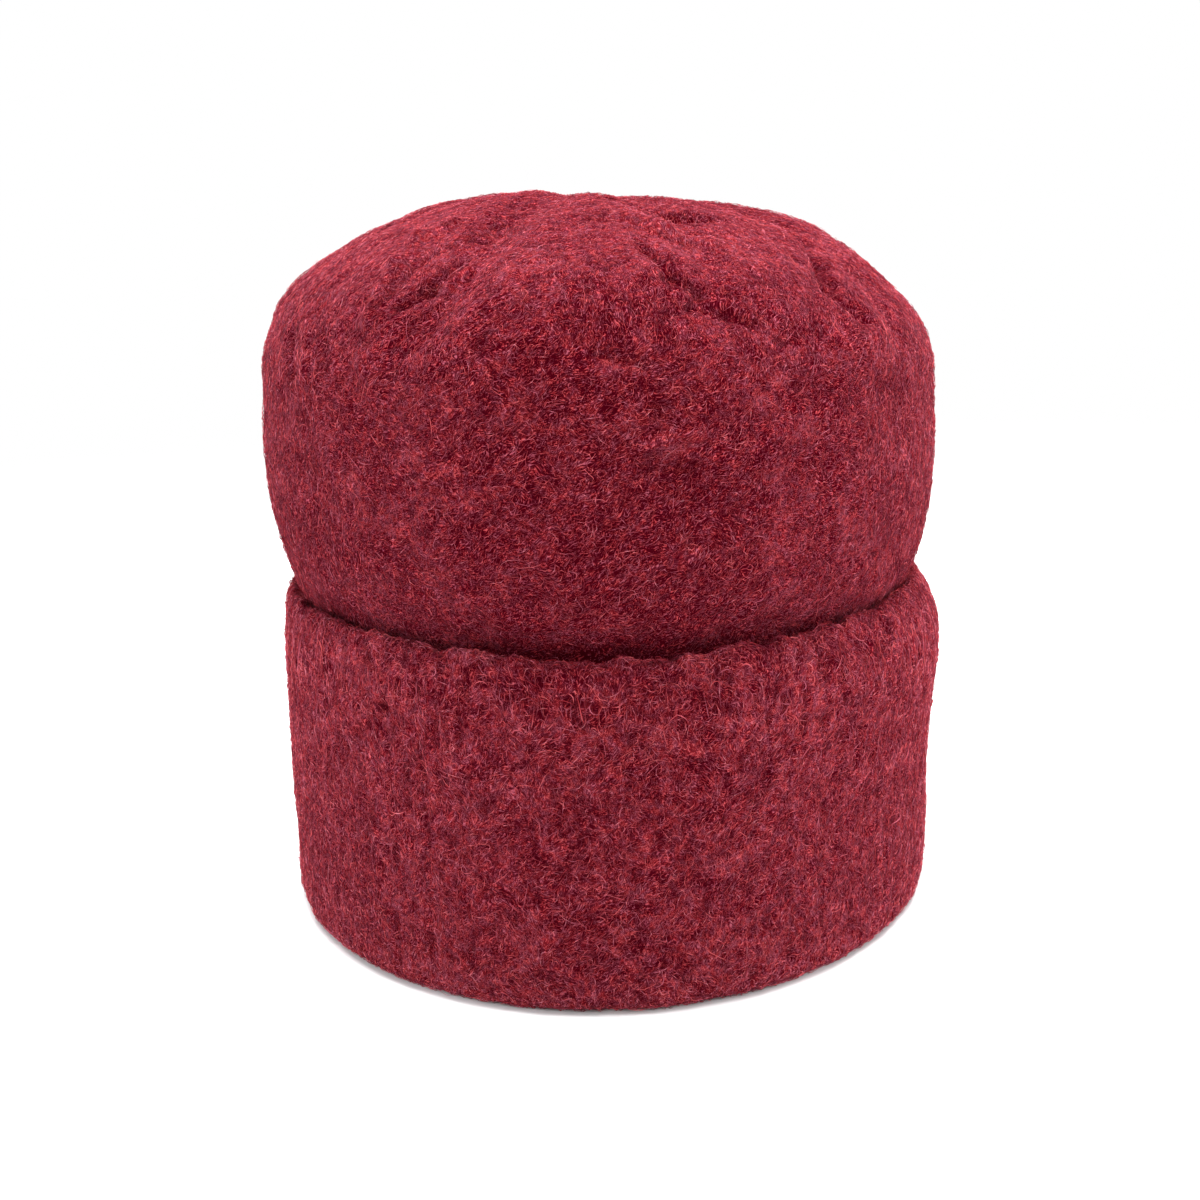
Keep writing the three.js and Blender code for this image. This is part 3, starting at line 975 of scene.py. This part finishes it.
@dataclass
class Side:
    """What the crown and the cuff share: a felt shell, and a nap on a finer copy of its surface.

    The shell sinks a little under its relief, so that the strands stand clear of it. pit_shade says how
    much darker the strands are over a pit, and pit_cover how much of the nap a pit keeps.
    """

    form: HatForm
    name: str
    columns: int
    seed: int
    pit_shade: float
    pit_cover: float

    FINENESS = 2
    SINK = 0.15 * MM

    def ready_nap(self, patch: Patch, height: Array, knots: Array, heading: Array) -> None:
        """Keeps the nap's surface, and makes the nap darker and thinner over pits.

        Args:
            patch: the fine surface.
            height: its relief.
            knots: 1 over a knot of wool, 0 over a pit, with the felt's painted light and shade in it.
            heading: which way the wool lies.
        """
        self.patch, self.lay = patch, heading
        # the strands take the felt's tone with its painted light and shade, plus painted shade low in the
        # relief and painted light high on it
        self.shade = (knots - 0.5) * self.pit_shade + np.clip(height / (0.6 * MM), -1, 1) * 0.08
        self.cover = self.pit_cover + (1 - self.pit_cover) * smooth_step(0.15, 0.5, knots)

    def nap(self, kind: str, weight: Array) -> MeshParts:
        """One coat of the nap, spread by the weight, with its own seed."""
        seed = self.seed * 10 + list(COATS).index(kind)
        return Nap(self.patch, self.lay, weight, self.shade, seed).spindles(COATS[kind])


@dataclass
class Crown(Side):
    """The crown: a felt shell, closed over the head, and its nap."""

    name: str = "crown"
    columns: int = 480
    seed: int = 11
    pit_shade: float = 0.55
    pit_cover: float = 0.45
    hidden_rows: int = 6
    shown_rows: int = 140
    inner_rows: int = 16
    shown_from: float = 76 * MM
    top_hole: float = 0.8 * MM

    # noises, each by its size in mm, its share and its shift: broad waves, matted tufts and small nubs
    RELIEF = ((17, 0.45, 0.0), (6.5, 0.26, 0.0), (2.6, 0.24, 0.5))
    MOTTLE = ((2.8, 0.18, 0.7), (6, 0.10, 0.9))
    WAVES = ((24, 0.6, 0.2), (9, 0.7, 0.0))

    def __post_init__(self) -> None:
        """Works out the fine surface that the nap lies on."""
        self.noise = WoolNoise(self.seed)
        self.start = self.form.run_at(self.shown_from)
        self.stop = self.form.crown_length - self.top_hole
        fine = np.linspace(self.start, self.stop, self.shown_rows * self.FINENESS)
        bearing, run = self._grid(fine, self.columns * self.FINENESS)
        smooth = Patch(self.form.crown(bearing, run))
        height = self.noise.layers(smooth.points, self.RELIEF) * MM
        points = smooth.raised(height)
        self.ready_nap(Patch(points), height, self.knots(bearing, points), self.heading(bearing, points))
        above_cuff = smooth_step(0.40, 0.45, points[..., 2] / self.form.height)
        self.cover = self.cover * (0.1 + 0.9 * above_cuff)

    @staticmethod
    def _grid(run: Array, columns: int) -> tuple[Array, Array]:
        """Bearings and runs as grids."""
        return np.meshgrid(np.arange(columns) * FULL_TURN / columns, run, indexing="xy")

    def shell(self) -> MeshParts:
        """The closed shell: up the outside, over the top, and back down one cloth further in."""
        hidden = np.linspace(0.0, self.start, self.hidden_rows, endpoint=False)
        shown = np.linspace(self.start, self.stop, self.shown_rows)
        bearing, runs = self._grid(np.concatenate([hidden, shown]), self.columns)
        smooth = Patch(self.form.crown(bearing, runs))
        relief = self.noise.layers(smooth.points, self.RELIEF) * MM
        outer = smooth.raised((relief - self.SINK) * smooth_step(0.0, self.start, runs))
        picks = np.linspace(0, len(outer) - 1, self.inner_rows).astype(int)[::-1]
        inner = (smooth.points - smooth.normals * self.form.cloth)[picks]
        grid = np.concatenate([outer, inner])
        rings = np.arange(len(grid)) * self.columns
        last, poles = len(outer) - 1, grid[..., 0].size
        bands = band_faces(np.delete(rings, last), np.delete(np.roll(rings, -1), last), self.columns)
        caps = [
            cap_faces(rings[last], self.columns, poles, True),
            cap_faces(rings[last + 1], self.columns, poles + 1, False),
        ]
        top = outer[-1].mean(axis=0)
        points = np.concatenate([grid.reshape(-1, 3), [top, top - [0.0, 0.0, self.form.cloth]]])
        inside = len(points) - outer[..., 0].size
        # knot: the felt's tone, with painted light and shade in it
        marks = {"knot": self.knots(bearing, outer), **way_shares(smooth, self.heading(bearing, outer))}
        values = {name: np.concatenate([mark.ravel(), np.full(inside, 0.5)]) for name, mark in marks.items()}
        return MeshParts(points, [bands, *caps], values=values)

    def knots(self, bearing: Array, points: Array) -> Array:
        """How much the felt stands as a knot, 1, or sinks as a pit or a crease, 0.

        Pits crowd in patches and high on the front. The top is painted lighter, as painted light from above,
        and rough patches are a little lighter. Painted shade darkens the crown towards the cuff, where it
        tucks in above the lip and in the creases of its pinch strokes, and painted light brightens the
        strokes' ridges.
        """
        level = points[..., 2] / self.form.height
        above = points[..., 2] - self.form.lip(bearing)
        front = hump(turn_between(bearing, -0.05), 0.5) * hump(level - 0.81, 0.09)
        rough = np.minimum(smooth_step(-0.1, 0.5, self.noise(points + 0.3, 18 * MM)) * 0.7 + front, 1.0)
        pits = smooth_step(0.15, 0.5, self.noise(points + 0.1, 3.2 * MM)) * (0.15 + 0.85 * rough)
        # painted light on the top, as if lit from above, and rough patches a little lighter
        painted_top_light_and_rough_tone = smooth_step(0.86, 0.92, level) * 0.12 + rough * 0.08
        # painted shade in the band above the cuff's lip
        painted_lip_shade = smooth_step(50 * MM, 10 * MM, above) * 0.07 + smooth_step(14 * MM, 2 * MM, above) * 0.10
        # painted shade in the crevice where the crown tucks in above the lip
        tucked = np.maximum(self.form.tucked(bearing, points), 0) * 0.5
        # painted shade in the creases of the pinch strokes and in the tuck, painted light on their ridges
        painted_crease_and_ridge_light = self.form.pinched(points) / (2.5 * MM) * 0.40 + tucked
        small = self.noise.layers(points, self.MOTTLE)
        return np.clip(0.54 + small + painted_top_light_and_rough_tone - pits * 0.46 - painted_lip_shade - painted_crease_and_ridge_light, 0.0, 1.0)

    def heading(self, bearing: Array, points: Array) -> Array:
        """Which way the wool lies: round the front in waves, up the sides, and to the middle on top."""
        side = smooth_step(0.45, 0.95, np.abs(np.sin(bearing)))
        dome = smooth_step(0.72, 0.92, points[..., 2] / self.form.height)
        upright = np.clip(np.maximum(side, dome) + self.noise(points + 0.4, 22 * MM) * 0.5, 0.0, 1.0)
        return math.pi * (0.08 + 0.38 * upright) + self.noise.layers(points, self.WAVES)


@dataclass
class Cuff(Side):
    """The cuff: the felt turned up round the outside, with its fold and its lip, and its nap."""

    name: str = "cuff"
    columns: int = 640
    seed: int = 23
    pit_shade: float = 0.7
    pit_cover: float = 0.25
    wall_rows: int = 80
    lip_round: float = 13 * MM
    lip_inset: float = 2.6 * MM
    fold_radius: float = 4.5 * MM
    inner_radius: float = 2.0 * MM
    fold_width: float = 8.7 * MM
    wale_count: int = 116
    nub_size: float = 3.4 * MM

    # on the right side: its bearing, and how much longer, deeper and further in the lip's round is
    RIGHT = 1.5
    RIGHT_ROUND = 7 * MM
    RIGHT_INSET = 0.5 * MM
    RIGHT_LEAN = 1.0 * MM
    # noises, each by its size in mm, its share and its shift: broad waves and tufts
    RELIEF = ((15, 0.35, 0.0), (5.5, 0.26, 0.0))
    MOTTLE = ((2.6, 0.17, 0.7), (6, 0.10, 0.9))
    WAVES = ((14, 1.6, 0.2), (6, 1.4, 0.0))

    def __post_init__(self) -> None:
        """Works out the fine surface that the nap lies on, its nubby places and the lip's crest."""
        self.noise = WoolNoise(self.seed)
        smooth, lumpy, bearing = self._surface(self.FINENESS)
        height = self.relief(smooth.points, bearing) * lumpy
        shown = lumpy[:, 0] > 0.5
        points, bearing = smooth.raised(height)[shown], bearing[shown]
        self.ready_nap(Patch(points), height[shown], self.knots(bearing, points), self.heading(points))
        self.nubby = self.near_lip(bearing, points) ** 2
        self.on_lip = hump(self.form.lip(bearing) - points[..., 2], 1.8 * MM)
        self.cover = self.cover * (1 + 1.5 * self.on_lip)

    def _surface(self, fineness: int) -> tuple[Patch, Array, Array]:
        """The cuff's smooth surface, how lumpy it is, and its bearings."""
        columns = self.columns * fineness
        around = np.arange(columns) * FULL_TURN / columns
        heights, insets, lumpy = self._section(around, fineness)
        bearing = np.broadcast_to(around, heights.shape)
        return Patch(self.form.cuff(bearing, heights, insets)), lumpy, bearing

    def _section(self, around: Array, fineness: int) -> tuple[Array, Array, Array]:
        """The cuff's section at each bearing.

        It runs from the top of the fold's inner leg, round under the fold along two quarter circles,
        up the outside, over the lip along a quarter ellipse and a small round, and down the inside.
        On the right side the ellipse is longer and the lip leans inwards.

        Args:
            around: the bearings.
            fineness: how many times the shell's rows it has.

        Returns:
            Heights, insets and how lumpy the felt is, in rows of the section.
        """
        lip = self.form.lip(around)[None]
        flat = np.ones_like(lip)
        inner, outer, width = self.inner_radius, self.fold_radius, self.fold_width
        thick = self.form.cuff_cloth
        right = hump(turn_between(around, self.RIGHT), 0.5)[None]
        lip_round = self.lip_round + self.RIGHT_ROUND * right
        lip_inset = self.lip_inset + self.RIGHT_INSET * right
        start = lip - lip_round
        turns = (5, 5 * fineness, 9 * fineness, 3 * fineness)
        small, large, arc, tuck = (np.linspace(0, math.pi / 2, count)[:, None] for count in turns)
        arc, tuck = arc[1:], tuck[1:]
        wall = np.linspace(0, 1, self.wall_rows * fineness)[1:, None]
        down = np.linspace(0, 1, 8)[1:, None]
        crest = thick - lip_inset
        low = self.form.fold_top + 0.2 * MM
        pieces = [
            (self.form.fold_top * flat, width * flat, 0.0),
            (inner * (1 - np.sin(small)) * flat, (width - inner * (1 - np.cos(small))) * flat, 0.2),
            (outer * (1 - np.cos(large)) * flat, outer * (1 - np.sin(large)) * flat, 0.6),
            (outer + (start - outer) * wall, 0.0 * wall * flat, 1.0),
            (start + lip_round * np.sin(arc) * flat, lip_inset * (1 - np.cos(arc)) * flat, 1.0),
            (lip - crest * (1 - np.cos(tuck)), (lip_inset + crest * np.sin(tuck)) * flat, 0.6),
            (lip - crest + (low - lip + crest) * down, thick * flat * np.ones_like(down), 0.0),
        ]
        heights = np.concatenate([height for height, _, _ in pieces])
        insets = np.concatenate([inset for _, inset, _ in pieces])
        lumpy = np.concatenate([np.full(height.shape, value) for height, _, value in pieces])
        lean = self.RIGHT_LEAN * right * (0.3 + 0.7 * lumpy)
        return heights, insets + lean * smooth_step(-24 * MM, 0.0, heights - lip), lumpy

    def near_lip(self, bearing: Array, points: Array) -> Array:
        """How nubby the felt is: 1 in the band under the lip, less further down, and in patches."""
        below = self.form.lip(bearing) - points[..., 2]
        band = 0.30 + 0.70 * hump(below - 12 * MM, 18 * MM)
        return band * smooth_step(-0.45, 0.35, self.noise(points + 0.6, 13 * MM))

    def wales(self, points: Array) -> Array:
        """The knitted columns that show through: 1 in the dark gaps between them, 0 on them.

        A column's gap is where a cosine round the hat is lowest, broken up along its height.
        """
        sway = self.noise(points * [1, 1, 0.4], 22 * MM) * 3.0
        bearing = np.arctan2(points[..., 0], -points[..., 1])
        gap = smooth_step(0.2, 1.0, -np.cos(bearing * self.wale_count + sway))
        return gap * smooth_step(-0.05, 0.45, self.noise(points * 0.8 + 0.8, 3.5 * MM))

    def relief(self, points: Array, bearing: Array) -> Array:
        """The height of the felt's relief: curled nubs, gaps between columns, tufts and broad waves."""
        nubs = (self.noise.nubs(points, self.nub_size) - 0.55) * (0.30 + 0.9 * self.near_lip(bearing, points))
        return (nubs + self.noise.layers(points, self.RELIEF) - self.wales(points) * 0.45) * MM

    def shell(self) -> MeshParts:
        """The closed shell: the section carried round the hat."""
        smooth, lumpy, bearing = self._surface(1)
        grid = smooth.raised((self.relief(smooth.points, bearing) - self.SINK) * lumpy)
        rings = np.arange(len(grid)) * self.columns
        # knot: the felt's tone, with painted light and shade in it
        marks = {"knot": self.knots(bearing, grid), **way_shares(smooth, self.heading(grid))}
        values = {name: mark.ravel() for name, mark in marks.items()}
        faces = band_faces(rings, np.roll(rings, -1), self.columns)
        return MeshParts(grid.reshape(-1, 3), [faces], values=values)

    def knots(self, bearing: Array, points: Array) -> Array:
        """How much the felt stands as a nub, 1, or sinks as a pit, 0.

        Gaps between the columns are dark, partly as painted shade. The lip's crest has patches of painted
        shade, the nubs carry painted light on their tops and painted shade between them besides their own
        colour, and the fold at the bottom is painted lighter as painted bounce light from the floor.
        """
        near = self.near_lip(bearing, points)
        pits = smooth_step(0.18, 0.42, self.noise(points + 0.1, 3.0 * MM)) * (0.25 + 0.75 * near)
        # the nubs' own colour, with painted light on their tops and painted shade between them
        nubs = (self.noise.nubs(points, self.nub_size) - 0.50) * (0.10 + 1.10 * near)
        crest = hump(self.form.lip(bearing) - points[..., 2], 2.0 * MM)
        # painted shade in patches along the lip's crest, carrying on the shadow of the crevice above it
        painted_crest_shade = crest * smooth_step(-0.2, 0.3, self.noise(points + 0.5, 7 * MM))
        # painted bounce light from the floor on the fold at the bottom
        painted_bounce_light = hump(points[..., 2], 9 * MM) * 0.20
        # pits, the gaps between columns, partly as painted shade, and the crest's painted shade darken the
        # felt
        dark = pits * 0.48 + self.wales(points) * 0.36 + painted_crest_shade * 0.35
        small = self.noise.layers(points, self.MOTTLE)
        return np.clip(0.56 + small + painted_bounce_light + nubs * 0.8 - dark, 0.0, 1.0)

    def heading(self, points: Array) -> Array:
        """Which way the wool lies: mostly upright, curling from place to place."""
        return math.pi * 0.42 + self.noise.layers(points, self.WAVES)


# ---- the studio ----


@dataclass(frozen=True)
class Studio:
    """A pale seamless floor, soft light and the camera."""

    distance: float = 0.453
    eye_height: float = 0.184
    eye_aside: float = -2.5 * MM
    pitch: float = math.radians(12.88)
    roll: float = math.radians(2.1)
    lens: float = 45.84
    sensor: float = 36.0
    seen_white: float = 1.0
    glow: float = 0.5
    paper: float = 0.82

    # the height that the lamps face, then each lamp's place, its size across and up, its watts and its
    # colour: a broad one overhead, a cooler one at each side, and a weak one in front
    LIT_HEIGHT = 0.11
    LAMPS = {
        "top": ((0.05, 0.1, 1.1), (1.2, 1.0), 38.0, (1.0, 1.0, 1.0)),
        "left": ((-0.9, 0.0, 0.17), (0.5, 0.3), 8.1, (0.90, 0.94, 1.0)),
        "right": ((0.9, 0.0, 0.17), (0.5, 0.3), 8.8, (0.94, 0.96, 1.0)),
        "front": ((0.1, -1.1, 0.85), (1.4, 0.6), 6.5, (1.0, 1.0, 1.0)),
    }
    # the floor's rings
    RADII = (0.3, 0.6, 0.9, 1.3)
    FLOOR_COLUMNS = 96

    def floor(self) -> None:
        """A round pale floor that fades into the surroundings away from the hat."""
        columns = self.FLOOR_COLUMNS
        turn = np.linspace(0, FULL_TURN, columns, endpoint=False)
        rings = [np.stack([r * np.cos(turn), r * np.sin(turn), 0 * turn], axis=-1) for r in self.RADII]
        points = np.concatenate([*rings, [[0.0, 0.0, 0.0]]])
        starts = np.arange(len(rings)) * columns
        bands = band_faces(starts[:-1], starts[1:], columns)[:, ::-1]
        p = Palette(bpy.data.materials.new("floor_paper"))
        fade = p.rise(p.vector("LENGTH", p.object_place()), 0.30, 1.25)
        paper = p.surface(
            Base_Color=solid((self.paper,) * 3),
            Roughness=0.9,
            Specular_IOR_Level=0.0,
            Alpha=1 - fade,
        )
        faces = [bands, cap_faces(0, columns, len(points) - 1, True)]
        build_object("floor", MeshParts(points, faces), paper)

    def camera(self) -> None:
        """The camera, a little above the hat's shoulder and looking down at its cuff."""
        data = bpy.data.cameras.new("camera")
        data.lens, data.sensor_width = self.lens, self.sensor
        data.clip_start, data.clip_end = 0.01, 50.0
        eye = in_scene("camera", data)
        place = Matrix.Translation((self.eye_aside, -self.distance, self.eye_height))
        tilt = Matrix.Rotation(math.pi / 2 - self.pitch, 4, "X")
        eye.matrix_world = place @ tilt @ Matrix.Rotation(-self.roll, 4, "Z")
        bpy.context.scene.camera = eye

    def lights(self) -> None:
        """Soft rectangular lamps that face the hat."""
        for name, (place, size, power, tint) in self.LAMPS.items():
            data = bpy.data.lights.new(name, "AREA")
            data.shape, data.size, data.size_y = "RECTANGLE", *size
            data.energy, data.color = power, tint
            lamp = in_scene(name, data)
            lamp.location = place
            aim = Vector((0.0, 0.0, self.LIT_HEIGHT)) - Vector(place)
            lamp.rotation_euler = aim.to_track_quat("-Z", "Y").to_euler()

    def surroundings(self) -> None:
        """White surroundings that light the hat more softly than they look."""
        p = Palette(bpy.data.worlds.new("studio"))
        lit, looks = (
            p.wire(p.add("Background", {}, Color=solid((1.0, 1.0, 1.0)), Strength=strength))
            for strength in (self.glow, self.seen_white)
        )
        seen = p.wire(p.add("LightPath", {}), "Is Camera Ray")
        bpy.context.scene.world = p.ended("World", p.add("MixShader", {}, seen, lit, looks))

    def build(self) -> None:
        """Sets all of it up, and shows colours as they are."""
        self.camera()
        self.floor()
        self.surroundings()
        self.lights()
        bpy.context.scene.view_settings.view_transform = "Standard"


# ---- putting it together ----


def place_piece(name: str, parts: MeshParts, material: bpy.types.Material) -> bpy.types.Object:
    """Builds a piece that rides on the hat's body.

    Args:
        name: the piece's name.
        parts: its mesh.
        material: its finish.

    Returns:
        The piece.
    """
    made = build_object(name, parts, material)
    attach(made, BODY)
    log.info("%s: %d triangles", name, parts.triangles())
    return made


def main() -> None:
    """Builds the studio, the crown, the cuff and their naps."""
    logging.basicConfig(level=logging.INFO, format="%(name)s: %(message)s")
    Studio().build()
    form = read_form()
    wool = Wool()
    felt = FeltFinish("felt", wool).make()
    nap_finish = StrandFinish("nap", wool).make()

    crown = Crown(form)
    cuff = Cuff(form)
    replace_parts(place_piece("crown_felt", crown.shell(), felt), "crown")
    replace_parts(place_piece("cuff_felt", cuff.shell(), felt), "cuff")

    kinds = ("mat_1", "mat_2", "curls", "hairs")
    layers = [(side, kind, side.cover) for side in (crown, cuff) for kind in kinds]
    layers += [(cuff, "loops", cuff.nubby), (cuff, "fringe", cuff.on_lip)]
    for side, kind, weight in layers:
        place_piece(f"{side.name}_{kind}", side.nap(kind, weight), nap_finish)


if __name__ == "__main__":
    main()
